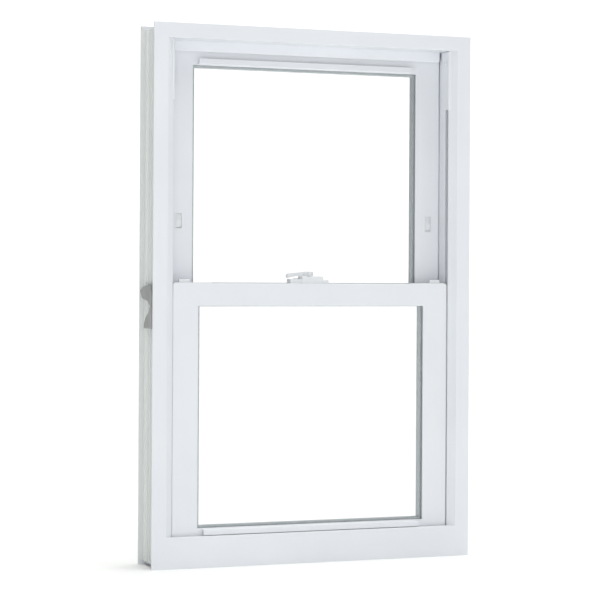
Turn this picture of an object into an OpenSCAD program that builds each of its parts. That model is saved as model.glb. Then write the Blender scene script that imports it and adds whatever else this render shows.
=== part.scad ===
// Double-hung tilt-in window of welded hollow plastic profiles, in millimetres.
// X runs to the right as seen from indoors, Y towards the outdoors, Z up.
// The origin is the middle of the frame's base.
//
// Sections are drawn in (a, d): a is the distance from a member's outer edge towards the glass,
// and d is the depth from its indoor face towards the outdoors.

/* [Frame] */
// Overall width of the frame
frame_w = 603; // [500:1:760]
// Overall height of the frame
frame_h = 946; // [760:1:1400]
// Visible width of the jambs' and head's front face
face_w = 26; // [24:0.5:30]
// Height of the sill's front face
sill_face_h = 55; // [46:1:62]
// How far the front flange and the outdoor leg stand proud of the frame's body
flange_reach = 8; // [4:0.5:10]
// Distance from the frame's outer edge to the jamb's inner face
jamb_reach = 38.5; // [37:0.5:44]
// Depth at which the jamb's sloping return meets its inner face
return_d = 10; // [8:0.5:11]
// Thickness of the frame's walls
frame_wall = 1.8; // [1.4:0.1:2.2]
// Thickness of the front flange
flange_t = 2.6; // [2:0.1:3.2]
// Height of the lower track's floor
sill_floor_h = 19; // [16:0.5:24]
// Distance from the frame's top to the upper track's ceiling
head_track_h = 19.5; // [16:0.5:24]

/* [Tracks] */
// Width of the slot that the balance shoes' pivots run in
slot_w = 12.6; // [11:0.2:15]
// Width of the channel behind the slot
channel_w = 16; // [13:0.2:18]
// Distance from the frame's outer edge to the floor of the channel
channel_floor = 15; // [13:0.5:17]
// Length of the track covers
cover_len = 106; // [70:1:130]
// How far the track covers stand off the jamb's face
cover_t = 1.4; // [1:0.1:1.6]

/* [Sashes] */
// Width of the stiles and of the outer rails
stile_w = 46.4; // [40:0.2:56]
// Height of the two rails that meet
check_rail_h = 40; // [36:0.5:48]
// Depth of the lower sash's front face behind the frame's front face
lower_front = 12; // [11.5:0.5:14]
// Gap between the two sashes
sash_gap = 9.5; // [8.6:0.1:12]
// Gap between a sash's edge and the jamb's face
side_gap = 1.7; // [1.6:0.1:2.4]
// Gap under the lower sash and above the upper one
end_gap = 1.6; // [1.2:0.1:2.4]
// Thickness of the sash's walls
sash_wall = 2; // [1.6:0.1:2.4]
// How far the glass sits inside the sash's inner edge
glass_bite = 10.9; // [9:0.1:12]
// How far the lift rails stop short of the stiles
lift_inset = 9.4; // [4:0.2:60]
// How far the lift rails stand out
lift_reach = 7.5; // [6:0.5:7.5]

/* [Glass] */
// Thickness of one pane
pane_t = 3; // [3:0.5:4]
// Thickness of the whole sealed unit
unit_t = 20; // [14:0.5:26]
// Depth of the glazing beads behind the glass
bead_d = 5; // [3:0.5:8]

// How far above the middle the sashes meet, so that 0 makes them equally high
meet_up = 1.8; // [-60:0.2:60]

/* [Hardware] */
// Distance from a sash's bottom edge up to its pivots
pivot_up = 14; // [12:0.5:16]
// Distance from a sash's front face back to its pivots
pivot_in = 6.6; // [6.4:0.1:8]
// Radius of the pivots
pivot_r = 4.5; // [3.5:0.1:5.4]
// Running clearance of pivots, shafts and hinge pins, on the radius
run_fit = 0.05; // [0.02:0.01:0.1]
// Sliding clearance around shoes, bolts and buttons
slide_fit = 0.4; // [0.3:0.05:0.5]
// Place of the sash lock across the window
lock_x = -1; // [-40:1:40]
// Length of the lock's lever from its hub's centre
lever_len = 43; // [38:1:46]
// Height of the vent latches above the meeting rails
vent_up = 109; // [90:1:200]
// Travel of the tilt latches' bolts
bolt_travel = 10; // [9:0.5:13]
// How far the jamb adjusters' centres are below the top of the meeting rails
adjuster_down = 41; // [-60:1:120]
// Radius of the installation screw holes
fixing_r = 2.6; // [2:0.1:4]
// Distance of the installation holes from the frame's ends
fixing_end = 120; // [90:1:200]

/* [Hidden] */
$fn = 48;

eps = 0.01;          // overshoot of a cutting tool
over = 40;           // reach of the mitre tools past a member

// frame
rear_gap = 1.1;      // behind the upper sash
stop_t = 4;          // thickness of the outdoor stop
leg_t = 3;           // thickness of the outdoor leg
stop_reach = 46;     // how far the outdoor stop covers the upper sash's edge
dam_t = 9.4;         // thickness of the sill's indoor upstand
leg_depth = 3;       // sash wall in front of the glass
sash_t = leg_depth + unit_t + bead_d;
upper_front = lower_front + sash_t + sash_gap;
frame_d = upper_front + sash_t + rear_gap + stop_t;
head_step_d = upper_front - 1.5;   // where the head steps up into the upper track
seat_a = [face_w - 3, face_w];     // groove for the head stop
divider_d = [lower_front + sash_t + 3.6, lower_front + sash_t + 5.8];
divider_h = 40;      // height of the sill's divider
outdoor_floor_h = [30, 22];        // the outdoor floor's fall
edge_cut = 0.8;      // bevel along visible edges
rib_w = 1.6;         // ribs on the frame's outer wall
rib_h = 2.4;
rib_pitch = 14;
rib_count = 4;

// sashes
sash_w = frame_w - 2 * (jamb_reach + side_gap);
lower_z0 = sill_floor_h + end_gap + 0.4;
upper_z1 = frame_h - head_track_h - end_gap + 0.5;
check_z = (lower_z0 + upper_z1 + check_rail_h) / 2 + meet_up;   // top of the rails that meet
lower_z1 = check_z;
upper_z0 = check_z - check_rail_h;
lift_half = sash_w / 2 - stile_w - lift_inset;
adjuster_z = check_z - adjuster_down;
rebate = glass_bite + 2;      // width of the glass pocket
web_a = 13;                   // place of the web that splits the hollow
web_t = 1.2;
edge_wall = 4.4;              // outer edge wall, which holds the pile groove
pile_a = 2.4;                 // depth of the pile groove
pile_d = [19, 24];            // its place across the sash
pile_out = side_gap - 0.4;    // how far the pile stands out
spacer_in = 3.6;              // how far the spacer shows inside the sash's edge
spacer_meet = 0.4;            // the same at the rails that meet
lip_t = 2;                    // thickness of the lift rail's lip
lip_h = 10;
lip_drop = 1.4;               // from the rail's inner edge to the lip's top

// balances
channel_mid = [lower_front + pivot_in, upper_front + pivot_in];
shoe_below = 13;
shoe_h = 42;
case_h = 42;
ribbon_t = 0.4;
ribbon_w = 10;
ribbon_a = channel_floor + 1.4;
coil_r = 8.4;
coil_hole_r = 4;
coil_gap = 0.3;               // between the drum and the ribbon that leaves it
coil_a = ribbon_a + ribbon_t + coil_gap + coil_r;
lower_case_z = frame_h - face_w - cover_len + 4;
upper_case_z = frame_h - 68;
lower_pivot_z = lower_z0 + pivot_up;
upper_pivot_z = upper_z0 + pivot_up;
pivot_end = 7;                // gap between the pivot's end and the channel's floor

// tilt latch, measured from the sash's corner: b along the rail, e back, f down
bolt_e = [pivot_in - 3.6, pivot_in + 3.6];
bolt_f = [2, 10];
bolt_tip = -8.7;
bolt_end = 54;
case_b = [3.1, bolt_end + bolt_travel + 4];
case_e = [sash_wall + 0.1, 17];
case_f = 12;
button_b = [12, 32];
button_h = 6;

// lock, measured from its pivot
lock_e = sash_t - 9.5;        // pivot behind the sash's front face
cam_r = sash_t - lock_e + sash_gap;   // reaches the upper sash's face
cam_hub_r = 8;
lock_base_x = [-41, -19.5, cam_r + 3, cam_r + 14];
lock_base_h = [7.8, 12.6, 6.2];
lock_base_e = [lock_e - 15.5, lock_e + 6.5];
shaft_r = 3.5;
shaft_top = 18;
hub_r = 7;
lock_screw_x = [-31, cam_r + 8.4];
lock_screw_e = lock_e - 4.5;
screw_r = 2;
screw_head_r = 3.6;

// vent latch, measured from the stile's outer edge
vent_b = [14.4, 28];
vent_deep = 10;
vent_h = 30;
vent_pin_r = 1.2;

// colours
vinyl = [0.88, 0.9, 0.92];
hardware_white = [0.93, 0.94, 0.95];
grey_plastic = [0.55, 0.57, 0.58];
steel = [0.7, 0.71, 0.72];
clear_glass = [0.75, 0.85, 0.85, 0.35];
seal_grey = [0.45, 0.47, 0.48];

// ---------------------------------------------------------------- helpers

module box(low, high) {
  translate(low)
    cube(high - low);
}

module rect(a0, d0, a1, d1) {
  translate([a0, d0])
    square([a1 - a0, d1 - d0]);
}

// a block with round upright corners
module round_box(low, high, r) {
  box([low[0] + r, low[1], low[2]], [high[0] - r, high[1], high[2]]);
  box([low[0], low[1] + r, low[2]], [high[0], high[1] - r, high[2]]);
  for (x = [low[0] + r, high[0] - r])
    for (y = [low[1] + r, high[1] - r])
      translate([x, y, low[2]])
        cylinder(r = r, h = high[2] - low[2]);
}

module rod_x(x0, x1, r) {
  translate([x0, 0, 0])
    rotate([0, 90, 0])
      cylinder(r = r, h = x1 - x0);
}

// right = false draws the left-hand piece, right = true its mirror image
module handed(right) {
  mirror([right ? 1 : 0, 0, 0])
    children();
}

// an upright member: its section's (a, d) become x from the left edge and y from the front
module upright(edge_x, front_y, z0, z1) {
  translate([edge_x, front_y, z0])
    linear_extrude(z1 - z0)
      children();
}

// a level member of half length half_l, its section's a pointing down from z
module hanging(half_l, front_y, z) {
  translate([-half_l, front_y, z])
    rotate([0, 90, 0])
      linear_extrude(2 * half_l)
        children();
}

// a level member whose section's a points up from z
module standing(half_l, front_y, z) {
  translate([-half_l, front_y, z])
    mirror([0, 0, 1])
      rotate([0, 90, 0])
        linear_extrude(2 * half_l)
          children();
}

// a prism with the outline points in (x, z), from y0 to y1
module prism_y(points, y0, y1) {
  translate([0, y1, 0])
    rotate([90, 0, 0])
      linear_extrude(y1 - y0)
        polygon(points);
}

// ---------------------------------------------------------------- frame

body_a = flange_reach;
front_y = -frame_d / 2;
body_back = frame_d - leg_t;
stop_front = frame_d - stop_t;

module jamb_outline() {
  polygon([
    [0, 0], [face_w, 0], [face_w + edge_cut, edge_cut], [jamb_reach, return_d],
    [jamb_reach, stop_front], [stop_reach, stop_front], [stop_reach, frame_d], [0, frame_d],
    [0, body_back], [body_a, body_back], [body_a, flange_t], [0, flange_t]
  ]);
  for (i = [1 : rib_count])
    rect(body_a - rib_h, 6 + i * rib_pitch, body_a + eps, 6 + i * rib_pitch + rib_w);
}

module jamb_chambers() {
  w = frame_wall;
  a0 = body_a + w;
  a1 = jamb_reach - w;
  low = channel_mid[0] - channel_w / 2;
  nose = face_w - 0.5;
  polygon([[a0, w + 0.4], [nose, w + 0.4], [a1 - 3.4, low - w], [a0, low - w]]);
  for (m = channel_mid)
    rect(a0, m - channel_w / 2, channel_floor - w, m + channel_w / 2);
  rect(a0, channel_mid[0] + channel_w / 2 + w, a1, channel_mid[1] - channel_w / 2 - w);
  rect(a0, channel_mid[1] + channel_w / 2 + w, a1, frame_d - w);
}

module jamb_channels() {
  for (m = channel_mid) {
    rect(channel_floor, m - channel_w / 2, jamb_reach - frame_wall, m + channel_w / 2);
    rect(channel_floor + 1, m - slot_w / 2, jamb_reach + eps, m + slot_w / 2);
  }
}

// each layer of the jamb's depth: where it starts and ends, and how far its mitres run
jamb_layers = [
  [-over, dam_t, face_w, face_w],
  [dam_t, head_step_d, sill_floor_h, face_w],
  [head_step_d, stop_front, sill_floor_h, head_track_h],
  [stop_front, frame_d + over, outdoor_floor_h[1], stop_reach]
];

// the jambs have 45 degree corners, and beyond them stand square on the sill and under the head
module jamb_ends() {
  for (layer = jamb_layers)
    prism_y([
      [0, 0], [layer[2], layer[2]], [stop_reach + over, layer[2]],
      [stop_reach + over, frame_h - layer[3]], [layer[3], frame_h - layer[3]], [0, frame_h]
    ], layer[0], layer[1]);
}

// the space that a jamb takes at the corners
module jamb_space() {
  intersection() {
    upright(0, 0, 0, frame_h)
      polygon([
        [0, 0], [face_w, 0], [face_w + edge_cut, edge_cut], [jamb_reach, return_d],
        [jamb_reach, stop_front], [stop_reach, stop_front], [stop_reach, frame_d], [0, frame_d]
      ]);
    jamb_ends();
  }
}

module both_jamb_spaces() {
  for (right = [false, true])
    handed(right)
      translate([-frame_w / 2, front_y, 0])
        jamb_space();
}

module jamb(right) {
  color(vinyl)
    handed(right)
      translate([-frame_w / 2, front_y, 0])
        difference() {
          intersection() {
            upright(0, 0, 0, frame_h)
              difference() {
                jamb_outline();
                jamb_chambers();
                jamb_channels();
              }
            jamb_ends();
          }
          for (z = [fixing_end, frame_h - fixing_end])
            translate([0, (channel_mid[0] + channel_mid[1]) / 2, z])
              rod_x(-1, stop_reach, fixing_r);
          translate([0, adjuster_post_d, adjuster_z - adjuster_post_drop])
            rod_x(0, body_a + frame_wall + 1, adjuster_post_r + slide_fit);
        }
}

// head: the front face, a flat underside over the lower track and a deeper upper track

module head_section() {
  w = frame_wall;
  difference() {
    union() {
      polygon([
        [0, 0], [face_w - edge_cut, 0], [face_w, edge_cut], [face_w, head_step_d],
        [head_track_h, head_step_d], [head_track_h, stop_front], [stop_reach, stop_front],
        [stop_reach, frame_d], [0, frame_d], [0, body_back], [body_a, body_back],
        [body_a, flange_t], [0, flange_t]
      ]);
      for (i = [1 : rib_count])
        rect(body_a - rib_h, 6 + i * rib_pitch, body_a + eps, 6 + i * rib_pitch + rib_w);
    }
    rect(body_a + w, w + 0.4, face_w - w, head_stop_d[0] - 4);
    rect(body_a + w, head_stop_d[0] - 4 + w, seat_a[0] - w, head_step_d - w);
    rect(body_a + w, head_step_d, head_track_h - w, stop_front - w);
    rect(face_w - 3, head_stop_d[0] + 1.5 - 0.2, face_w + eps, head_stop_d[1] - 1.5 + 0.2);
  }
}

module head() {
  color(vinyl)
    difference() {
      hanging(frame_w / 2, front_y, frame_h)
        head_section();
      both_jamb_spaces();
    }
}

// sill: a tall front face, a deep lower track, a divider and a floor that falls to the outdoors
module sill_section() {
  w = frame_wall;
  difference() {
    union() {
      polygon([
        [0, 0], [sill_face_h - edge_cut, 0], [sill_face_h, edge_cut], [sill_face_h, dam_t - edge_cut],
        [sill_face_h - edge_cut, dam_t], [sill_floor_h, dam_t], [sill_floor_h - 1, divider_d[0]],
        [divider_h, divider_d[0]], [divider_h, divider_d[1]], [outdoor_floor_h[0], divider_d[1]],
        [outdoor_floor_h[1], frame_d - w - 4], [outdoor_floor_h[1], frame_d], [0, frame_d],
        [0, body_back], [body_a, body_back], [body_a, flange_t], [0, flange_t]
      ]);
      for (i = [1 : rib_count])
        rect(body_a - rib_h, 6 + i * rib_pitch, body_a + eps, 6 + i * rib_pitch + rib_w);
    }
    rect(body_a + w, w + 0.4, sill_face_h - w, dam_t - w);
    rect(body_a + w, dam_t, sill_floor_h - w - 1.2, divider_d[0] - w);
    polygon([
      [body_a + w, divider_d[0]], [outdoor_floor_h[0] - w, divider_d[0]],
      [outdoor_floor_h[0] - w, divider_d[1]], [outdoor_floor_h[1] - w, frame_d - w - 4],
      [body_a + w, frame_d - w - 4]
    ]);
  }
}

module sill() {
  color(vinyl)
    difference() {
      standing(frame_w / 2, front_y, 0)
        sill_section();
      both_jamb_spaces();
    }
}

// snap-in stop under the head, against the upper sash
head_stop_d = [upper_front - 8.5, upper_front - 1.5];
head_stop_h = 18.4;
head_stop_half = frame_w / 2 - jamb_reach - 3.5;

module head_stop() {
  z1 = frame_h - face_w;
  r = 2.4;
  color(vinyl)
    translate([0, front_y, 0])
      difference() {
        union() {
          round_box([-head_stop_half, head_stop_d[0], z1 - head_stop_h + r],
                    [head_stop_half, head_stop_d[1], z1], r);
          box([-head_stop_half + r, head_stop_d[0] + r, z1 - head_stop_h],
              [head_stop_half - r, head_stop_d[1] - r, z1]);
          for (d = [head_stop_d[0] + r, head_stop_d[1] - r])
            translate([0, d, z1 - head_stop_h + r])
              rod_x(-head_stop_half + r, head_stop_half - r, r);
          box([-head_stop_half + 6, head_stop_d[0] + 1.5, z1 - eps],
              [head_stop_half - 6, head_stop_d[1] - 1.5, z1 + 2.8]);
        }
        box([-head_stop_half - 1, head_stop_d[0] + 1.4, z1 - head_stop_h + 3],
            [head_stop_half + 1, head_stop_d[1] - 1.4, z1 - 1.5]);
      }
}

cover_leg = frame_wall - 0.1;   // how far the track covers' legs reach into the slot

// snap-in cover over the top of the lower track, folded round the jamb's slope
module track_cover(right) {
  z1 = frame_h - face_w - 1;
  z0 = z1 - cover_len;
  a = jamb_reach;
  m = channel_mid[0];
  fold_a = a - 4;
  fold_d = return_d - 4 * (return_d - edge_cut) / (jamb_reach - face_w - edge_cut);
  d1 = lower_front + sash_t - 1;
  leg = [slot_w / 2 - slide_fit - 1.4, slot_w / 2 - slide_fit];
  color(hardware_white)
    handed(right)
      translate([-frame_w / 2, front_y, 0])
        difference() {
          upright(0, 0, z0, z1)
            polygon([
              [a, return_d], [a, m - leg[1]], [a - cover_leg, m - leg[1]], [a - cover_leg, m - leg[0]],
              [a, m - leg[0]], [a, m + leg[0]], [a - cover_leg, m + leg[0]], [a - cover_leg, m + leg[1]],
              [a, m + leg[1]], [a, d1], [a + cover_t - 0.5, d1], [a + cover_t, d1 - 0.5],
              [a + cover_t, return_d - 0.9], [fold_a + 0.7, fold_d - 1.2],
              [fold_a, fold_d - 0.6], [fold_a, fold_d]
            ]);
          for (d = [m - 2.5, m + 8])
            box([a - 2, d, z1 - 24], [a + cover_t + 1, d + 2.2, z1 - 16]);
        }
}

// ---------------------------------------------------------------- balances

module in_channel(right, upper) {
  handed(right)
    translate([-frame_w / 2, front_y + channel_mid[upper ? 1 : 0], 0])
      children();
}

module coil_case(right, upper) {
  z0 = upper ? upper_case_z : lower_case_z;
  half = channel_w / 2 - slide_fit;
  a1 = jamb_reach - frame_wall - slide_fit;
  color(hardware_white)
    in_channel(right, upper) {
      difference() {
        box([channel_floor, -half, z0], [a1, half, z0 + case_h]);
        translate([coil_a, 0, z0 + case_h / 2])
          rotate([90, 0, 0])
            cylinder(r = coil_r + 0.6, h = ribbon_w + 1, center = true);
        box([ribbon_a - 0.4, -ribbon_w / 2 - 0.5, z0 - eps],
            [ribbon_a + ribbon_t + 0.4, ribbon_w / 2 + 0.5, z0 + case_h / 2 + 4]);
      }
      translate([coil_a, 0, z0 + case_h / 2])
        rotate([90, 0, 0])
          cylinder(r = coil_hole_r - run_fit, h = ribbon_w + 2, center = true);
    }
}

module coil(right, upper) {
  z0 = upper ? upper_case_z : lower_case_z;
  color(steel)
    in_channel(right, upper)
      translate([coil_a, 0, z0 + case_h / 2])
        rotate([90, 0, 0])
          difference() {
            cylinder(r = coil_r, h = ribbon_w, center = true);
            cylinder(r = coil_hole_r, h = ribbon_w + 1, center = true);
          }
}

module ribbon(right, upper) {
  z0 = (upper ? upper_pivot_z : lower_pivot_z) - shoe_below + shoe_h;
  z1 = (upper ? upper_case_z : lower_case_z) + case_h / 2;
  color(steel)
    in_channel(right, upper)
      box([ribbon_a, -ribbon_w / 2, z0], [ribbon_a + ribbon_t, ribbon_w / 2, z1]);
}

module shoe(right, upper) {
  z = upper ? upper_pivot_z : lower_pivot_z;
  half = channel_w / 2 - slide_fit;
  a0 = channel_floor + slide_fit;
  a1 = jamb_reach - frame_wall - slide_fit;
  color(hardware_white)
    in_channel(right, upper)
      difference() {
        union() {
          box([a0, -half, z - shoe_below], [a1, half, z - shoe_below + shoe_h]);
          box([a1 - eps, -slot_w / 2 + slide_fit, z - shoe_below + 2],
              [jamb_reach - 0.1, slot_w / 2 - slide_fit, z + 12]);
        }
        translate([0, 0, z])
          rod_x(channel_floor + pivot_end - 1, jamb_reach + 1, pivot_r + run_fit);
        box([a0 + 6, -half - 1, z + 15], [a1 + 1, half + 1, z - shoe_below + shoe_h - 3]);
      }
}

module pivot(right, upper) {
  z = upper ? upper_pivot_z : lower_pivot_z;
  edge = jamb_reach + side_gap;
  color(steel)
    in_channel(right, upper)
      translate([0, 0, z]) {
        rod_x(channel_floor + pivot_end, edge + edge_wall + 1, pivot_r);
        box([edge + edge_wall, sash_wall - pivot_in, -8], [edge + web_a, 12, 8]);
      }
}

// ---------------------------------------------------------------- sashes

function sash_front(upper) = front_y + (upper ? upper_front : lower_front);
function sash_z0(upper) = upper ? upper_z0 : lower_z0;
function sash_z1(upper) = upper ? upper_z1 : lower_z1;
function bottom_h(upper) = upper ? check_rail_h : stile_w;
function top_h(upper) = upper ? stile_w : check_rail_h;

module sash_section(width, groove) {
  inner = width - rebate;
  difference() {
    polygon([
      [0, edge_cut], [edge_cut, 0], [width - edge_cut, 0], [width, edge_cut], [width, leg_depth],
      [inner, leg_depth], [inner, sash_t], [0, sash_t]
    ]);
    rect(edge_wall, sash_wall, web_a, sash_t - sash_wall);
    rect(web_a + web_t, sash_wall, inner - sash_wall, sash_t - sash_wall);
    if (groove)
      rect(-eps, pile_d[0], pile_a, pile_d[1]);
  }
}

module lip_section(width) {
  a1 = width - lip_drop;
  polygon([
    [a1, eps], [a1, -lift_reach + edge_cut], [a1 - edge_cut, -lift_reach],
    [a1 - lip_h, -lift_reach], [a1 - lip_h, -lift_reach + lip_t], [a1 - lip_t, -lift_reach + lip_t],
    [a1 - lip_t, eps]
  ]);
}

// outlines in (x, z) that mitre a sash's left stile and its two rails
module stile_cut(upper) {
  x = -sash_w / 2;
  z0 = sash_z0(upper);
  z1 = sash_z1(upper);
  prism_y([
    [x, z0], [x + stile_w, z0 + bottom_h(upper)], [x + stile_w, z1 - top_h(upper)], [x, z1]
  ], sash_front(upper) - over, sash_front(upper) + sash_t + over);
}

module rail_cut(upper, top) {
  x = sash_w / 2;
  z = top ? sash_z1(upper) : sash_z0(upper);
  zi = top ? z - top_h(upper) : z + bottom_h(upper);
  prism_y([[-x, z], [x, z], [x - stile_w, zi], [-x + stile_w, zi]],
          sash_front(upper) - over, sash_front(upper) + sash_t + over);
}

module stile(right, upper) {
  color(vinyl)
    handed(right)
      difference() {
        intersection() {
          upright(-sash_w / 2, sash_front(upper), sash_z0(upper), sash_z1(upper))
            sash_section(stile_w, true);
          stile_cut(upper);
        }
        translate([-sash_w / 2, sash_front(upper) + pivot_in, sash_z0(upper) + pivot_up])
          rod_x(-1, edge_wall + 1, pivot_r + 0.2);
        if (upper)
          vent_space();
        else
          latch_space();
      }
}

module rail(upper, top) {
  h = top ? top_h(upper) : bottom_h(upper);
  z = top ? sash_z1(upper) : sash_z0(upper);
  lip = upper == top;
  color(vinyl)
    difference() {
      union() {
        intersection() {
          if (top)
            hanging(sash_w / 2, sash_front(upper), z)
              sash_section(h, lip);
          else
            standing(sash_w / 2, sash_front(upper), z)
              sash_section(h, lip);
          rail_cut(upper, top);
        }
        if (lip && top)
          hanging(lift_half, sash_front(upper), z)
            lip_section(h);
        if (lip && !top)
          standing(lift_half, sash_front(upper), z)
            lip_section(h);
      }
      if (top && !upper) {
        for (right = [false, true])
          handed(right)
            latch_space();
        lock_screw_holes();
      }
    }
}

// rectangle of the glass unit, or of the ring inset from it; meet is the inset at the rail that
// meets the other sash, where it differs
module unit_rect(upper, inset, d0, d1, meet = -1) {
  meet_inset = meet < 0 ? inset : meet;
  x = sash_w / 2 - stile_w + glass_bite - inset;
  z0 = sash_z0(upper) + bottom_h(upper) - glass_bite + (upper ? meet_inset : inset);
  z1 = sash_z1(upper) - top_h(upper) + glass_bite - (upper ? inset : meet_inset);
  y = sash_front(upper) + leg_depth;
  box([-x, y + d0, z0], [x, y + d1, z1]);
}

module pane(upper, outer) {
  d = outer ? unit_t - pane_t : 0;
  color(clear_glass)
    unit_rect(upper, 0, d, d + pane_t);
}

module spacer(upper) {
  color(seal_grey)
    difference() {
      unit_rect(upper, 1, pane_t, unit_t - pane_t);
      unit_rect(upper, glass_bite + spacer_in, 0, unit_t, glass_bite + spacer_meet);
    }
}

module bead_section(width) {
  a0 = width - rebate;
  d0 = leg_depth + unit_t;
  difference() {
    polygon([
      [a0, d0], [width, d0], [width, d0 + 1], [width - 4, sash_t], [a0, sash_t]
    ]);
    rect(a0 + 1.2, d0 + 1.2, width - 5, sash_t - 1.2);
  }
}

module glazing_beads(upper) {
  color(vinyl) {
    for (right = [false, true])
      handed(right)
        intersection() {
          upright(-sash_w / 2, sash_front(upper), sash_z0(upper), sash_z1(upper))
            bead_section(stile_w);
          stile_cut(upper);
        }
    intersection() {
      hanging(sash_w / 2, sash_front(upper), sash_z1(upper))
        bead_section(top_h(upper));
      rail_cut(upper, true);
    }
    intersection() {
      standing(sash_w / 2, sash_front(upper), sash_z0(upper))
        bead_section(bottom_h(upper));
      rail_cut(upper, false);
    }
  }
}

module weatherstrip(upper) {
  z0 = sash_z0(upper);
  z1 = sash_z1(upper);
  y = sash_front(upper);
  e0 = pile_d[0] + 0.2;
  e1 = pile_d[1] - 0.2;
  color(seal_grey) {
    for (right = [false, true])
      handed(right)
        box([-sash_w / 2 - pile_out, y + e0, z0 + 6], [-sash_w / 2 + pile_a, y + e1, z1 - 6]);
    if (upper) {
      box([-sash_w / 2 + 6, y + e0, z1 - pile_a], [sash_w / 2 - 6, y + e1, z1 + end_gap - 0.9]);
      box([-sash_w / 2 + 6, y - sash_gap + 1.2, z0 + 14], [sash_w / 2 - 6, y, z0 + 17]);
    } else
      box([-sash_w / 2 + 6, y + e0, z0 - end_gap + 0.4], [sash_w / 2 - 6, y + e1, z0 + pile_a]);
  }
}

// ---------------------------------------------------------------- tilt latches

// from the lower sash's top left corner: x along the rail, y back, z up
module at_latch() {
  translate([-sash_w / 2, sash_front(false), lower_z1])
    children();
}

module bolt_way(gap) {
  box([-10, bolt_e[0] - gap, -bolt_f[1] - gap], [case_b[1] - 3, bolt_e[1] + gap, -bolt_f[0] + gap]);
}

module latch_space() {
  at_latch() {
    box([case_b[0], case_e[0], -case_f], [case_b[1], case_e[1], over]);
    bolt_way(0.5);
  }
}

module latch_case(right) {
  slot_e = [pivot_in - 2.6, pivot_in + 2.6];
  color(hardware_white)
    handed(right)
      at_latch()
        difference() {
          union() {
            box([case_b[0], case_e[0], -case_f], [case_b[1], case_e[1], 0]);
            round_box([case_b[0], 1, 0], [case_b[1] + 3, case_e[1] + 2, 1.4], 1);
          }
          bolt_way(slide_fit);
          box([button_b[0] - slide_fit, slot_e[0], -bolt_f[0] - 1],
              [button_b[1] + bolt_travel + slide_fit, slot_e[1], 3]);
          box([case_b[0] + 1.5, bolt_e[1] + slide_fit + 1.4, -case_f + 1.5],
              [case_b[1] - 3, case_e[1] - 1.5, -1.5]);
        }
}

module latch_bolt(right) {
  color(hardware_white)
    handed(right)
      at_latch() {
        difference() {
          box([bolt_tip, bolt_e[0], -bolt_f[1]], [bolt_end, bolt_e[1], -bolt_f[0]]);
          translate([bolt_tip - 1, bolt_e[0] - 1, -bolt_f[1] - 1])
            rotate([0, 0, -35])
              cube([8, 5, 12]);
        }
        box([button_b[0], pivot_in - 2.2, -bolt_f[0] - eps], [button_b[1], pivot_in + 2.2, 2]);
        difference() {
          box([button_b[0], pivot_in - 2.2, 1.6], [button_b[1], pivot_in + 2.2, 1.4 + button_h]);
          for (i = [1 : 4])
            box([button_b[0] + i * 4 - 0.5, pivot_in - 3, button_h + 0.6],
                [button_b[0] + i * 4 + 0.5, pivot_in + 3, button_h + 2]);
        }
      }
}

// ---------------------------------------------------------------- lock

module at_lock() {
  translate([lock_x, sash_front(false) + lock_e, lower_z1])
    children();
}

module lock_screw_holes() {
  at_lock()
    for (x = lock_screw_x)
      translate([x, lock_screw_e - lock_e, -14])
        cylinder(r = screw_r, h = 40);
}

module lock_base() {
  e0 = lock_base_e[0] - lock_e;
  e1 = lock_base_e[1] - lock_e;
  x = lock_base_x;
  h = lock_base_h;
  color(hardware_white)
    difference() {
      at_lock()
        difference() {
          union() {
            round_box([x[0], e0 + 2, 0], [x[1] + 4, e1, h[0]], 3);
            round_box([x[1], e0, 0], [x[2], e1, h[1]], 3);
            round_box([x[2] - 4, e0 + 2, 0], [x[3], e1, h[2]], 3);
          }
          box([-12, e0 + 1.5, -eps], [cam_r + 0.8, e1 + 1, 6]);
          translate([0, 0, 1])
            cylinder(r = shaft_r + run_fit, h = 20);
          for (s = [[lock_screw_x[0], h[0]], [lock_screw_x[1], h[2]]])
            translate([s[0], lock_screw_e - lock_e, s[1] - 2])
              cylinder(r = screw_head_r + 0.2, h = 4);
        }
      lock_screw_holes();
    }
}

module lock_lever() {
  low = lock_base_h[1] + 0.5;
  top = low + 8;
  color(hardware_white)
    at_lock() {
      difference() {
        translate([0, 0, low])
          cylinder(r = hub_r, h = top - low);
        translate([0, 0, low - 1])
          cylinder(r = shaft_r, h = shaft_top - low + 1);
      }
      difference() {
        translate([0, 4.5, 0])
          rotate([90, 0, 0])
            linear_extrude(9)
              polygon([
                [-6, low], [-6, top], [-lever_len + 3, top - 3.4], [-lever_len, top - 5.6],
                [-lever_len, low - 2.4], [-lever_len + 1, low - 3.2], [-28, low]
              ]);
        for (side = [-1, 1])
          translate([-lever_len - 2, side * 4.5, 0])
            rotate([0, 0, -side * 4])
              translate([0, side > 0 ? 0 : -4, 8])
                cube([34, 4, 20]);
      }
    }
}

module lock_cam() {
  color(steel)
    at_lock() {
      translate([0, 0, 0.6])
        cylinder(r = cam_hub_r, h = 4.8);
      translate([0, 0, 2])
        cylinder(r = shaft_r, h = shaft_top - 2);
      rotate([0, 0, -30])
        intersection() {
          translate([0, 0, 1])
            cylinder(r = cam_r, h = 4);
          box([0, -5, 0], [cam_r + 1, 6, 6]);
        }
    }
}

module lock_screws() {
  color(steel)
    at_lock()
      for (s = [[lock_screw_x[0], lock_base_h[0]], [lock_screw_x[1], lock_base_h[2]]])
        translate([s[0], lock_screw_e - lock_e, 0])
          difference() {
            union() {
              translate([0, 0, -12])
                cylinder(r = screw_r, h = 12 + s[1] - 1);
              translate([0, 0, s[1] - 2])
                cylinder(r = screw_head_r, h = 2.2);
            }
            for (turn = [0, 90])
              rotate([0, 0, turn])
                box([-2.2, -0.4, s[1] - 1], [2.2, 0.4, s[1] + 1]);
          }
}

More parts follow.
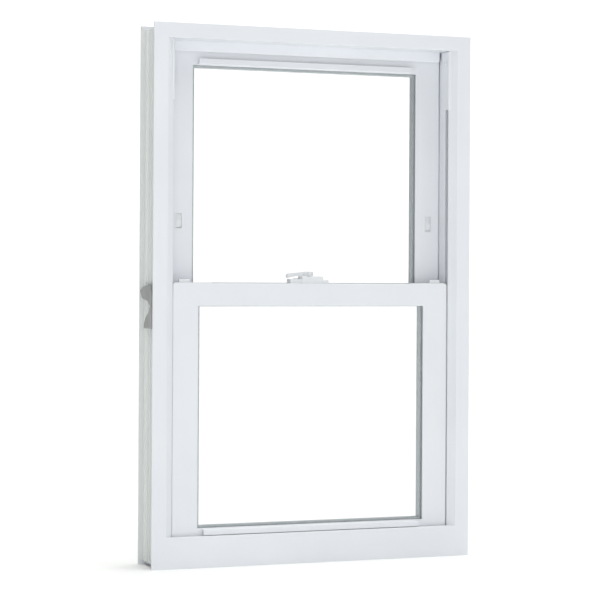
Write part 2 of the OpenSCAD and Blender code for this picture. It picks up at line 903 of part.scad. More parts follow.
// bracket on the upper meeting rail's face, with a pocket for the cam above the rail's edge
module keeper() {
  reach = sash_gap - 2.9;
  color(hardware_white)
    translate([lock_x, sash_front(true), upper_z0 + check_rail_h])
      difference() {
        union() {
          box([-cam_r - 3, -reach, -14], [cam_r + 4, 0, 9]);
          box([-cam_r - 3, -1, 0], [cam_r + 4, leg_depth - 0.6, 9]);
        }
        box([-cam_r, -reach - 1, -0.4], [cam_r + 5, 0.8, 6.2]);
        for (x = [-14, 15])
          translate([x, 0.5 - reach, -7.5])
            rotate([90, 0, 0])
              cylinder(r = screw_head_r, h = 3);
      }
}

// ---------------------------------------------------------------- vent latches

module at_vent() {
  translate([-sash_w / 2, sash_front(true), check_z + vent_up])
    children();
}

module vent_space() {
  at_vent()
    box([vent_b[0], -1, -vent_h / 2], [vent_b[1], vent_deep, vent_h / 2]);
}

vent_pin_e = 4.6;
vent_pin_z = -9;

module vent_case(right) {
  color(hardware_white)
    handed(right)
      at_vent()
        difference() {
          box([vent_b[0], -0.6, -vent_h / 2], [vent_b[1], vent_deep, vent_h / 2]);
          box([vent_b[0] + 1.8, -1, -vent_h / 2 + 1.5], [vent_b[1] - 1.8, vent_deep - 1.2, vent_h / 2 - 1.5]);
          translate([0, vent_pin_e, vent_pin_z])
            rod_x(vent_b[0] + 0.6, vent_b[1] - 0.6, vent_pin_r + run_fit);
        }
}

module vent_tongue(right) {
  color(hardware_white)
    handed(right)
      at_vent() {
        translate([0, vent_pin_e, vent_pin_z])
          rod_x(vent_b[0] + 0.8, vent_b[1] - 0.8, vent_pin_r);
        difference() {
          translate([vent_b[0] + 2.2, 0, 0])
            rotate([90, 0, 90])
              linear_extrude(vent_b[1] - vent_b[0] - 4.4)
                polygon([
                  [-0.4, -6.5], [2, -11.6], [4.6, -12.4], [7, -11], [8.2, -8], [6.4, 12.6],
                  [1, 12.6], [-0.4, 11]
                ]);
          for (z = [2, 5, 8])
            box([vent_b[0], -1, z], [vent_b[1], 0.4, z + 1.2]);
        }
      }
}

// ---------------------------------------------------------------- jamb adjusters

// midway between the lower track's channel and the divider behind it
adjuster_post_d = (channel_mid[0] + channel_w / 2 + frame_wall + divider_d[0]) / 2;
adjuster_post_r = 4;
adjuster_post_drop = -14;
adjuster_a = [0.6, 2.8];
adjuster_travel = 6;
// outline in (d, z) from the adjuster's centre: a swept wing above and a curled foot below,
// drawn for a frame 82.6 deep
adjuster_outline = [
  [10, -38], [56, -38], [55, -31], [46, -20], [34, -13], [24, -8], [20, 2],
  [36, 10], [66, 14], [78.8, 27], [60, 34], [26, 39], [18, 34], [11, 17]
];

module adjuster(right) {
  color(grey_plastic)
    handed(right)
      translate([-frame_w / 2, front_y, adjuster_z]) {
        translate([adjuster_a[0], 0, 0])
          rotate([90, 0, 90])
            linear_extrude(adjuster_a[1] - adjuster_a[0])
              polygon([for (p = adjuster_outline) [p[0] * frame_d / 82.6, p[1]]]);
        translate([0, adjuster_post_d, -adjuster_post_drop])
          rod_x(adjuster_a[1] - eps, body_a + frame_wall + adjuster_travel + 2, adjuster_post_r);
      }
}

// ---------------------------------------------------------------- nodes

jamb(false);  // jamb_left
jamb(true);  // jamb_right
head();
sill();
head_stop();
track_cover(false);  // track_cover_left
track_cover(true);  // track_cover_right
coil_case(false, false);  // lower_coil_case_left
coil_case(true, false);  // lower_coil_case_right
coil_case(false, true);  // upper_coil_case_left
coil_case(true, true);  // upper_coil_case_right
coil(false, false);  // lower_coil_left
coil(true, false);  // lower_coil_right
coil(false, true);  // upper_coil_left
coil(true, true);  // upper_coil_right
ribbon(false, false);  // lower_ribbon_left
ribbon(true, false);  // lower_ribbon_right
ribbon(false, true);  // upper_ribbon_left
ribbon(true, true);  // upper_ribbon_right
shoe(false, false);  // lower_shoe_left
shoe(true, false);  // lower_shoe_right
shoe(false, true);  // upper_shoe_left
shoe(true, true);  // upper_shoe_right
pivot(false, false);  // lower_pivot_left
pivot(true, false);  // lower_pivot_right
pivot(false, true);  // upper_pivot_left
pivot(true, true);  // upper_pivot_right
stile(false, false);  // lower_stile_left
stile(true, false);  // lower_stile_right
rail(false, true);  // lower_top_rail
rail(false, false);  // lower_bottom_rail
pane(false, false);  // lower_inner_pane
pane(false, true);  // lower_outer_pane
spacer(false);  // lower_spacer
glazing_beads(false);  // lower_glazing_beads
weatherstrip(false);  // lower_weatherstrip
stile(false, true);  // upper_stile_left
stile(true, true);  // upper_stile_right
rail(true, true);  // upper_top_rail
rail(true, false);  // upper_bottom_rail
pane(true, false);  // upper_inner_pane
pane(true, true);  // upper_outer_pane
spacer(true);  // upper_spacer
glazing_beads(true);  // upper_glazing_beads
weatherstrip(true);  // upper_weatherstrip
latch_case(false);  // latch_case_left
latch_case(true);  // latch_case_right
latch_bolt(false);  // latch_bolt_left
latch_bolt(true);  // latch_bolt_right
lock_base();
lock_lever();
lock_cam();
lock_screws();
keeper();
vent_case(false);  // vent_case_left
vent_case(true);  // vent_case_right
vent_tongue(false);  // vent_tongue_left
vent_tongue(true);  // vent_tongue_right
adjuster(false);  // adjuster_left
adjuster(true);  // adjuster_right
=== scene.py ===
"""Looks of a white double-hung window whose lower sash tilts into the room.

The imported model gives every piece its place. Each sub-assembly is a class that softens the edges of its
pieces, adds what is too fine for the solid model, and dresses everything in its finish.
"""

import logging
import math
from dataclasses import dataclass
from enum import Enum
from typing import Sequence

import bmesh
import bpy
from mathutils import Matrix, Quaternion, Vector


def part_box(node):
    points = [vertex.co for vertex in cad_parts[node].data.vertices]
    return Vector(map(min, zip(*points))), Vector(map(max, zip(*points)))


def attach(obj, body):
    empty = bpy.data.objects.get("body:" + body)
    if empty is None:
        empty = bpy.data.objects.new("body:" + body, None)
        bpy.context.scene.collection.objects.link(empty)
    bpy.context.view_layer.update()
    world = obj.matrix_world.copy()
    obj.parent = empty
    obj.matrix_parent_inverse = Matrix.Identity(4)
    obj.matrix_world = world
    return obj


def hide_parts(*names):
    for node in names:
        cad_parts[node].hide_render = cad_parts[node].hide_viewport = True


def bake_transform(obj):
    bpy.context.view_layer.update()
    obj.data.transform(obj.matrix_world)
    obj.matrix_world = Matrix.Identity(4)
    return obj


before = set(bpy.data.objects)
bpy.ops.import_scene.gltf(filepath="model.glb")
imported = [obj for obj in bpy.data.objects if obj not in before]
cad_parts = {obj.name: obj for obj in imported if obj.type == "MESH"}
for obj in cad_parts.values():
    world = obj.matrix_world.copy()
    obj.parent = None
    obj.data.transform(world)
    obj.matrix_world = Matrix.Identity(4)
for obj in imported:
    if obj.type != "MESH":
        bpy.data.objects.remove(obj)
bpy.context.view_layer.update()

LOG = logging.getLogger("window")
MM = 0.001
SAME_POINT = 0.002 * MM
SAME_PLANE = math.radians(0.6)
ROUNDED_FROM = math.radians(28.0)
MITRE_SHARE = 0.22

Point = tuple[float, float, float]
Colour = tuple[float, float, float]


class Side(Enum):
    """The two hands of a piece, as seen from indoors."""

    LEFT = "left"
    RIGHT = "right"

    @property
    def sign(self) -> int:
        """Which way X runs from the middle to this side."""
        return -1 if self is Side.LEFT else 1


class Sash(Enum):
    """The two sashes."""

    LOWER = "lower"
    UPPER = "upper"

    @property
    def body(self) -> str:
        """The moving body that carries this sash."""
        return f"{self.value}_sash"


class Grain(Enum):
    """The direction that a profile was extruded in, as its pattern's scale along each axis."""

    ALONG_X = (0.06, 90.0, 90.0)
    ALONG_Z = (90.0, 90.0, 0.06)


# ---------------------------------------------------------------- materials


class Graph:
    """A node tree under construction, with short ways to add and join its nodes."""

    def __init__(self, tree: bpy.types.NodeTree) -> None:
        """Takes the tree and empties it."""
        self.tree = tree
        tree.nodes.clear()

    def add(self, kind: str, **values: object) -> bpy.types.Node:
        """Adds a node.

        Args:
            kind: The node's type.
            values: Socket names, with _ for a space, or the node's own properties.

        Returns:
            The new node.
        """
        node = self.tree.nodes.new(kind)
        for name, value in values.items():
            socket = node.inputs.get(name.replace("_", " "))
            if socket is not None:
                socket.default_value = value
            else:
                setattr(node, name, value)
        return node

    def join(self, source: bpy.types.Node, out: str | int, target: bpy.types.Node, into: str | int) -> None:
        """Joins one node's output to another's input, by name or number."""
        self.tree.links.new(source.outputs[out], target.inputs[into])


class Shader(Graph):
    """A material under construction.

    FIRST, SECOND and MIXED number a Mix node's colour sockets, which share their names with its others.
    """

    FIRST, SECOND, MIXED = 6, 7, 2

    def __init__(self, name: str) -> None:
        """Starts a material that holds only a Principled shader and its output.

        Args:
            name: The material's name.
        """
        self.material = bpy.data.materials.new(name)
        self.material.use_nodes = True
        super().__init__(self.material.node_tree)
        output = self.add("ShaderNodeOutputMaterial")
        self.surface = self.add("ShaderNodeBsdfPrincipled")
        self.join(self.surface, "BSDF", output, "Surface")
        self.place = self.add("ShaderNodeTexCoord")

    def noise(self, scale: float, stretch: Point = (1.0, 1.0, 1.0), detail: float = 3.0,
              roughness: float = 0.5, distortion: float = 0.0) -> bpy.types.Node:
        """Adds a noise on Object coordinates.

        Args:
            scale: Its cells per metre.
            stretch: How much finer it is along each axis.
            detail: Its octaves.
            roughness: How strong the finer octaves are.
            distortion: How far it is pulled about.

        Returns:
            The noise node.
        """
        mapping = self.add("ShaderNodeMapping", Scale=stretch)
        self.join(self.place, "Object", mapping, "Vector")
        noise = self.add("ShaderNodeTexNoise", Scale=scale, Detail=detail, Roughness=roughness,
                         Distortion=distortion)
        self.join(mapping, "Vector", noise, "Vector")
        return noise

    def remap(self, source: bpy.types.Node, out: str, low: float, high: float,
              to_low: float, to_high: float) -> bpy.types.Node:
        """Adds a Map Range from low..high to to_low..to_high, clamped."""
        node = self.add("ShaderNodeMapRange")
        for name, value in (("From Min", low), ("From Max", high), ("To Min", to_low), ("To Max", to_high)):
            node.inputs[name].default_value = value
        self.join(source, out, node, "Value")
        return node

    def tint(self, factor: bpy.types.Node, out: str, first: Colour, second: Colour) -> bpy.types.Node:
        """Adds a colour mix between first and second, driven by a node's output."""
        node = self.add("ShaderNodeMix", data_type="RGBA")
        node.inputs[self.FIRST].default_value = (*first, 1.0)
        node.inputs[self.SECOND].default_value = (*second, 1.0)
        self.join(factor, out, node, "Factor")
        return node

    def colour(self, node: bpy.types.Node) -> None:
        """Sends a colour mix to the surface's base colour."""
        self.join(node, self.MIXED, self.surface, "Base Color")

    def bump(self, layers: Sequence[tuple[bpy.types.Node, str, float, float]]) -> None:
        """Stacks bumps on the surface.

        Args:
            layers: For each, a node, its output, the bump's strength and its height in metres.
        """
        last = None
        for source, out, strength, height in layers:
            bump = self.add("ShaderNodeBump", Strength=strength, Distance=height)
            self.join(source, out, bump, "Height")
            if last is not None:
                self.join(last, "Normal", bump, "Normal")
            last = bump
        if last is not None:
            self.join(last, "Normal", self.surface, "Normal")

    def value(self, name: str, number: object) -> None:
        """Sets one of the surface's own sockets."""
        self.surface.inputs[name].default_value = number


@dataclass(frozen=True)
class SideTintAndShade:
    """A greenish tint on a jamb's outer side, with painted shade in dark bands along it and at its rear edge.

    Attributes:
        colour: Its colour in a light band.
        half: How far out from the middle it begins.
        front: The Y behind which it begins.
        pitch: The distance between its bands.
        shift: How far its bands are moved to the front, as a share of the pitch.
        dark: How light a band of painted shade is against a light one.
        rear: The Y where the painted shade of its rear edge begins and is whole.
        rear_dark: How light the painted shade at the rear edge is against a light band.
    """

    colour: Colour
    half: float = 293.2 * MM
    front: float = -40.2 * MM
    pitch: float = 18.0 * MM
    shift: float = 0.056
    dark: float = 0.88
    rear: tuple[float, float] = (35.5 * MM, 38.0 * MM)
    rear_dark: float = 0.86

    def over(self, s: Shader, face: bpy.types.Node) -> bpy.types.Node:
        """Lays the outer side's tint and painted shade over a face's colour.

        Args:
            s: The material.
            face: The face's colour mix.

        Returns:
            The mix of both.
        """
        axes = s.add("ShaderNodeSeparateXYZ")
        s.join(s.place, "Object", axes, "Vector")
        size = s.add("ShaderNodeMath", operation="ABSOLUTE")
        s.join(axes, "X", size, 0)
        # only the jamb's outer side, behind its front, gets the tint and the painted shade
        outer = s.remap(size, "Value", self.half, self.half + 0.4 * MM, 0.0, 1.0)
        behind = s.remap(axes, "Y", self.front, self.front + 0.6 * MM, 0.0, 1.0)
        both = s.add("ShaderNodeMath", operation="MULTIPLY")
        s.join(outer, "Result", both, 0)
        s.join(behind, "Result", both, 1)
        phase = s.add("ShaderNodeMath", operation="MULTIPLY_ADD")
        phase.inputs[1].default_value = math.tau / self.pitch
        phase.inputs[2].default_value = math.tau * self.shift
        s.join(axes, "Y", phase, 0)
        wave = s.add("ShaderNodeMath", operation="COSINE")
        s.join(phase, "Value", wave, 0)
        # painted shade: dark bands running along the outer side
        band = s.tint(s.remap(wave, "Value", -0.8, 0.9, 0.0, 1.0), "Result", self.dimmed(self.dark),
                      self.colour)
        # painted shade: the outer side darkens towards its rear edge
        rear = s.tint(s.remap(axes, "Y", *self.rear, 0.0, 1.0), "Result", self.colour,
                      self.dimmed(self.rear_dark))
        s.join(band, s.MIXED, rear, s.FIRST)
        mix = s.tint(both, "Value", self.colour, self.colour)
        s.join(face, s.MIXED, mix, s.FIRST)
        s.join(rear, s.MIXED, mix, s.SECOND)
        return mix

    def dimmed(self, share: float) -> Colour:
        """Its colour, dimmed to a share."""
        return tuple(share * part for part in self.colour)


@dataclass(frozen=True)
class ExtrudedVinyl:
    """Satin white vinyl with the faint draw lines of its extrusion."""

    name: str
    grain: Grain
    light: Colour = (0.795, 0.815, 0.853)
    shade: Colour = (0.77, 0.79, 0.832)
    roughness: float = 0.36
    # a tint with painted shade, laid over the jamb's outer side
    side_tint_and_shade: SideTintAndShade | None = None

    def material(self) -> bpy.types.Material:
        """Builds the material."""
        s = Shader(self.name)
        cloud = s.noise(7.0, detail=4.0)
        draw = s.noise(9.0, stretch=self.grain.value, detail=3.0, roughness=0.6)
        fine = s.noise(2600.0, detail=2.0)
        tint = s.tint(s.remap(cloud, "Fac", 0.35, 0.65, 0.0, 1.0), "Result", self.light, self.shade)
        s.colour(tint if self.side_tint_and_shade is None else self.side_tint_and_shade.over(s, tint))
        gloss = s.remap(draw, "Fac", 0.3, 0.7, self.roughness - 0.02, self.roughness + 0.03)
        s.join(gloss, "Result", s.surface, "Roughness")
        s.value("IOR", 1.52)
        s.value("Specular IOR Level", 0.42)
        s.bump([(draw, "Fac", 0.015, 0.00003), (fine, "Fac", 0.05, 0.00001)])
        return s.material


@dataclass(frozen=True)
class MouldedPlastic:
    """Injection-moulded plastic with a fine spark-eroded texture and shallow sink marks."""

    name: str
    light: Colour
    shade: Colour
    roughness: float = 0.3
    texture: float = 0.12

    def material(self) -> bpy.types.Material:
        """Builds the material."""
        s = Shader(self.name)
        sink = s.noise(55.0, detail=2.0)
        grain = s.noise(5200.0, detail=2.0, roughness=0.7)
        s.colour(s.tint(s.remap(sink, "Fac", 0.35, 0.65, 0.0, 1.0), "Result", self.light, self.shade))
        gloss = s.remap(grain, "Fac", 0.3, 0.7, self.roughness - 0.04, self.roughness + 0.08)
        s.join(gloss, "Result", s.surface, "Roughness")
        s.value("IOR", 1.5)
        s.bump([(sink, "Fac", 0.12, 0.0002), (grain, "Fac", self.texture, 0.00002)])
        return s.material


@dataclass(frozen=True)
class WorkedMetal:
    """Rolled, brushed or plated metal with fine lines and a little tarnish."""

    name: str
    light: Colour
    shade: Colour
    roughness: float
    lines: Point = (1.0, 1.0, 60.0)

    def material(self) -> bpy.types.Material:
        """Builds the material."""
        s = Shader(self.name)
        tarnish = s.noise(160.0, detail=5.0, roughness=0.6)
        drawn = s.noise(220.0, stretch=self.lines, detail=3.0)
        s.colour(s.tint(s.remap(tarnish, "Fac", 0.38, 0.66, 0.0, 1.0), "Result", self.light, self.shade))
        gloss = s.remap(drawn, "Fac", 0.3, 0.7, self.roughness - 0.08, self.roughness + 0.1)
        s.join(gloss, "Result", s.surface, "Roughness")
        s.value("Metallic", 1.0)
        s.bump([(drawn, "Fac", 0.2, 0.00004), (tarnish, "Fac", 0.08, 0.00005)])
        return s.material


@dataclass(frozen=True)
class ClearGlass:
    """Thin clear glass: almost nothing of its own but gloss, and a trace of haze."""

    name: str
    clear: float = 0.025
    haze: float = 0.05

    def material(self) -> bpy.types.Material:
        """Builds the material."""
        s = Shader(self.name)
        film = s.noise(9.0, detail=5.0, roughness=0.6, distortion=0.6)
        wipe = s.noise(30.0, stretch=(1.0, 1.0, 6.0), detail=3.0)
        s.colour(s.tint(film, "Fac", (0.88, 0.93, 0.92), (0.93, 0.96, 0.955)))
        alpha = s.remap(film, "Fac", 0.35, 0.7, self.clear, self.haze)
        s.join(alpha, "Result", s.surface, "Alpha")
        gloss = s.remap(wipe, "Fac", 0.3, 0.7, 0.015, 0.05)
        s.join(gloss, "Result", s.surface, "Roughness")
        s.value("IOR", 1.52)
        s.value("Specular IOR Level", 1.0)
        s.bump([(film, "Fac", 0.02, 0.0001)])
        s.material.surface_render_method = "BLENDED"
        return s.material


@dataclass(frozen=True)
class SoftSeal:
    """Rubbery sealant or woven pile: matt and uneven, with painted shade in the hollows of its bump and
    darker random patches.
    """

    name: str
    light: Colour
    shade: Colour
    scale: float = 900.0
    sheen: float = 0.0

    def material(self) -> bpy.types.Material:
        """Builds the material."""
        s = Shader(self.name)
        clump = s.noise(self.scale, detail=3.0, roughness=0.65)
        patch = s.noise(28.0, detail=3.0)
        mixed = s.add("ShaderNodeMath", operation="MULTIPLY")
        s.join(clump, "Fac", mixed, 0)
        s.join(patch, "Fac", mixed, 1)
        # painted shade where the bump dips, and a darker tone in random patches
        s.colour(s.tint(s.remap(mixed, "Value", 0.12, 0.4, 0.0, 1.0), "Result", self.shade, self.light))
        gloss = s.remap(patch, "Fac", 0.3, 0.7, 0.62, 0.82)
        s.join(gloss, "Result", s.surface, "Roughness")
        s.value("Sheen Weight", self.sheen)
        s.bump([(clump, "Fac", 0.35, 0.0001)])
        return s.material


class Finishes:
    """Every finish of the window, each built once."""

    def __init__(self) -> None:
        """Builds the materials."""
        self.upright = ExtrudedVinyl("white vinyl, drawn upright", Grain.ALONG_Z).material()
        self.level = ExtrudedVinyl("white vinyl, drawn level", Grain.ALONG_X).material()
        # the jambs' outer side: a greenish tint with painted shade in bands and at its rear edge
        side_tint_and_shade = SideTintAndShade((0.85, 0.875, 0.865))
        self.jamb = ExtrudedVinyl("white jamb vinyl", Grain.ALONG_Z, side_tint_and_shade=side_tint_and_shade).material()
        self.cover = ExtrudedVinyl("white cover vinyl", Grain.ALONG_Z, (0.81, 0.833, 0.87),
                                   (0.79, 0.812, 0.85), 0.42).material()
        self.hardware = MouldedPlastic("white moulded hardware", (0.78, 0.795, 0.82), (0.755, 0.772, 0.8),
                                       0.26).material()
        self.nylon = MouldedPlastic("nylon balance parts", (0.77, 0.78, 0.77), (0.72, 0.73, 0.72), 0.45,
                                    0.25).material()
        self.grey = MouldedPlastic("grey moulded plastic", (0.37, 0.375, 0.38), (0.31, 0.325, 0.325), 0.5,
                                   0.3).material()
        self.spring = WorkedMetal("rolled spring steel", (0.55, 0.56, 0.57), (0.42, 0.42, 0.43),
                                  0.3).material()
        self.plated = WorkedMetal("zinc-plated steel", (0.68, 0.69, 0.68), (0.55, 0.55, 0.52), 0.36,
                                  (1.0, 1.0, 1.0)).material()
        self.glass = ClearGlass("clear float glass").material()
        self.spacer = WorkedMetal("grey spacer bar", (0.58, 0.62, 0.64), (0.52, 0.555, 0.575), 0.55,
                                  (1.0, 20.0, 1.0)).material()
        self.seal = SoftSeal("glazing sealant", (0.46, 0.49, 0.51), (0.37, 0.395, 0.415)).material()
        self.bulb = SoftSeal("pale bulb seal", (0.72, 0.73, 0.76), (0.62, 0.63, 0.66)).material()
        self.pile = SoftSeal("woven pile", (0.5, 0.515, 0.52), (0.3, 0.31, 0.315), 2400.0, 0.3).material()
        # near-black dots: painted shade inside the spacer's breathing holes
        self.hole = SoftSeal("perforation painted shade", (0.06, 0.06, 0.06), (0.03, 0.03, 0.03)).material()


# ---------------------------------------------------------------- mesh helpers


def new_object(name: str, mesh: bpy.types.Mesh) -> bpy.types.Object:
    """Links a new object that holds a mesh.

    Args:
        name: The object's name.
        mesh: Its mesh, already in place.

    Returns:
        The object, at the origin.
    """
    obj = bpy.data.objects.new(name, mesh)
    bpy.context.scene.collection.objects.link(obj)
    return obj


def settled(bm: bmesh.types.BMesh, name: str) -> bpy.types.Object:
    """Makes an object of a finished bmesh, and frees the bmesh.

    Args:
        bm: The bmesh.
        name: The object's name.

    Returns:
        The object, at the origin.
    """
    mesh = bpy.data.meshes.new(name)
    bm.to_mesh(mesh)
    bm.free()
    return new_object(name, mesh)


def tube(bm: bmesh.types.BMesh, rows: Sequence[Sequence[bmesh.types.BMVert]],
         closed: bool = False) -> list[bmesh.types.BMFace]:
    """Joins each row of corners to the next.

    Args:
        bm: The mesh that they are in.
        rows: The rows, all of one length.
        closed: Whether the last row is joined to the first. If not, both ends are capped.

    Returns:
        The faces between the rows.
    """
    pairs = list(zip(rows, rows[1:])) + ([(rows[-1], rows[0])] if closed else [])
    faces = []
    for a, b in pairs:
        for i in range(len(a)):
            j = (i + 1) % len(a)
            faces.append(bm.faces.new((a[i], a[j], b[j], b[i])))
    if not closed:
        bm.faces.new(list(reversed(rows[0])))
        bm.faces.new(rows[-1])
    return faces


def plain(obj: bpy.types.Object) -> bpy.types.Object:
    """Applies an object's modifiers, so that it holds a plain mesh.

    Args:
        obj: The object.

    Returns:
        The same object.
    """
    bpy.context.view_layer.update()
    graph = bpy.context.evaluated_depsgraph_get()
    mesh = bpy.data.meshes.new_from_object(obj.evaluated_get(graph), depsgraph=graph)
    obj.modifiers.clear()
    obj.data = mesh
    return obj


def dress(obj: bpy.types.Object, material: bpy.types.Material) -> bpy.types.Object:
    """Gives a mesh object one material all over."""
    obj.data.materials.clear()
    obj.data.materials.append(material)
    for face in obj.data.polygons:
        face.material_index = 0
    return obj


def fills_right(mesh: bpy.types.Mesh) -> bool:
    """True if a mesh's faces cover the same area once they are cut into triangles."""
    mesh.calc_loop_triangles()
    cut = sum(triangle.area for triangle in mesh.loop_triangles)
    whole = sum(face.area for face in mesh.polygons)
    return abs(cut - whole) < 0.0005 * whole


def merged(node: str, join_faces: bool) -> bpy.types.Mesh:
    """Copies a solid's mesh with its doubled corners merged.

    Args:
        node: The solid's name.
        join_faces: Whether triangles in one plane are joined too.

    Returns:
        The new mesh.
    """
    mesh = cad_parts[node].data.copy()
    bm = bmesh.new()
    bm.from_mesh(mesh)
    bmesh.ops.remove_doubles(bm, verts=bm.verts, dist=SAME_POINT)
    if join_faces:
        bmesh.ops.dissolve_limit(bm, angle_limit=SAME_PLANE, verts=bm.verts, edges=bm.edges)
    bm.to_mesh(mesh)
    bm.free()
    return mesh


def weigh_edges(mesh: bpy.types.Mesh) -> None:
    """Sets how much each edge is rounded: not at all in the flat, little along a welded mitre."""
    bm = bmesh.new()
    bm.from_mesh(mesh)
    layer = bm.edges.layers.float.new("bevel_weight_edge")
    for edge in bm.edges:
        if len(edge.link_faces) == 2 and edge.calc_face_angle(0.0) > ROUNDED_FROM:
            mitred = any(abs(abs(f.normal.x) - abs(f.normal.z)) < 0.05 and abs(f.normal.y) < 0.05
                         for f in edge.link_faces)
            edge[layer] = MITRE_SHARE if mitred else 1.0
    bm.to_mesh(mesh)
    bm.free()


def softened(node: str, width: float, segments: int = 2, join_faces: bool = True) -> bpy.types.Object:
    """Copies a solid's mesh and rounds its edges, with its flats shaded flat.

    Args:
        node: The solid's name.
        width: The rounding's width in metres.
        segments: How many faces the rounding has.
        join_faces: Whether triangles in one plane are joined first.

    Returns:
        A new object with a plain mesh.
    """
    mesh = merged(node, join_faces)
    weigh_edges(mesh)
    for face in mesh.polygons:
        face.use_smooth = True
    obj = new_object(f"{node}_part", mesh)
    bevel = obj.modifiers.new("rounding", "BEVEL")
    bevel.width = width
    bevel.segments = segments
    bevel.limit_method = "WEIGHT"
    bevel.use_clamp_overlap = True
    bevel.miter_outer = "MITER_ARC"
    flat = obj.modifiers.new("flat_faces", "WEIGHTED_NORMAL")
    flat.mode = "FACE_AREA"
    flat.weight = 100
    flat.keep_sharp = False
    plain(obj)
    if join_faces and not fills_right(obj.data):
        LOG.info("%s keeps its triangles", node)
        bpy.data.objects.remove(obj)
        return softened(node, width, segments, join_faces=False)
    return obj


def carry(obj: bpy.types.Object, body: str, slot: str, *nodes: str) -> bpy.types.Object:
    """Makes a piece ride on a body and stand for solids.

    Args:
        obj: The piece.
        body: The body that moves it.
        slot: Not used.
        nodes: The solids it replaces.

    Returns:
        The same piece.
    """
    if nodes:
        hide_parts(*nodes)
    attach(obj, body)
    LOG.info("%s rides on %s", obj.name, body)
    return obj


def skin(node: str, body: str, slot: str, material: bpy.types.Material, width: float = 0.3 * MM,
         segments: int = 2) -> bpy.types.Object:
    """Softens a solid, dresses it and lets it stand for the solid.

    Args:
        node: The solid's name.
        body: The body that moves it.
        slot: Not used; only passed on to carry.
        material: Its material.
        width: The width of its rounded edges in metres.
        segments: How many faces the rounding has.

    Returns:
        The piece.
    """
    return carry(dress(softened(node, width, segments), material), body, slot, node)


# ---------------------------------------------------------------- repeated shapes


class GeometryTree(Graph):
    """A Geometry Nodes tree under construction, with named inputs."""

    def __init__(self, name: str) -> None:
        """Starts a tree that takes and gives geometry.

        Args:
            name: The tree's name.
        """
        super().__init__(bpy.data.node_groups.new(name, "GeometryNodeTree"))
        self.tree.is_modifier = True
        for way in ("INPUT", "OUTPUT"):
            self.tree.interface.new_socket("Geometry", in_out=way, socket_type="NodeSocketGeometry")
        self.source = self.add("NodeGroupInput")
        self.result = self.add("NodeGroupOutput")
        self.identifiers: dict[str, str] = {}

    def number(self, name: str, kind: str = "Float") -> str:
        """Adds a named input.

        Args:
            name: The input's name.
            kind: The socket's type, after NodeSocket.

        Returns:
            The same name.
        """
        socket = self.tree.interface.new_socket(name, in_out="INPUT", socket_type=f"NodeSocket{kind}")
        self.identifiers[name] = socket.identifier
        return name

    def feed(self, name: str, target: bpy.types.Node, into: str | int) -> None:
        """Joins a named input of the tree to a node's input."""
        self.join(self.source, name, target, into)

    def close(self, node: bpy.types.Node, out: str) -> None:
        """Ends the tree: instances made real, and one material set."""
        real = self.add("GeometryNodeRealizeInstances")
        paint = self.add("GeometryNodeSetMaterial")
        self.number("Finish", "Material")
        self.join(node, out, real, "Geometry")
        self.join(real, "Geometry", paint, "Geometry")
        self.feed("Finish", paint, "Material")
        self.join(paint, "Geometry", self.result, "Geometry")

    def run(self, obj: bpy.types.Object, **values: object) -> bpy.types.Object:
        """Runs the tree on an object and leaves a plain mesh.

        Args:
            obj: The object whose geometry goes in.
            values: The named inputs, with _ for a space.

        Returns:
            The same object.
        """
        modifier = obj.modifiers.new("nodes", "NODES")
        modifier.node_group = self.tree
        for name, value in values.items():
            modifier[self.identifiers[name.replace("_", " ")]] = value
        return plain(obj)


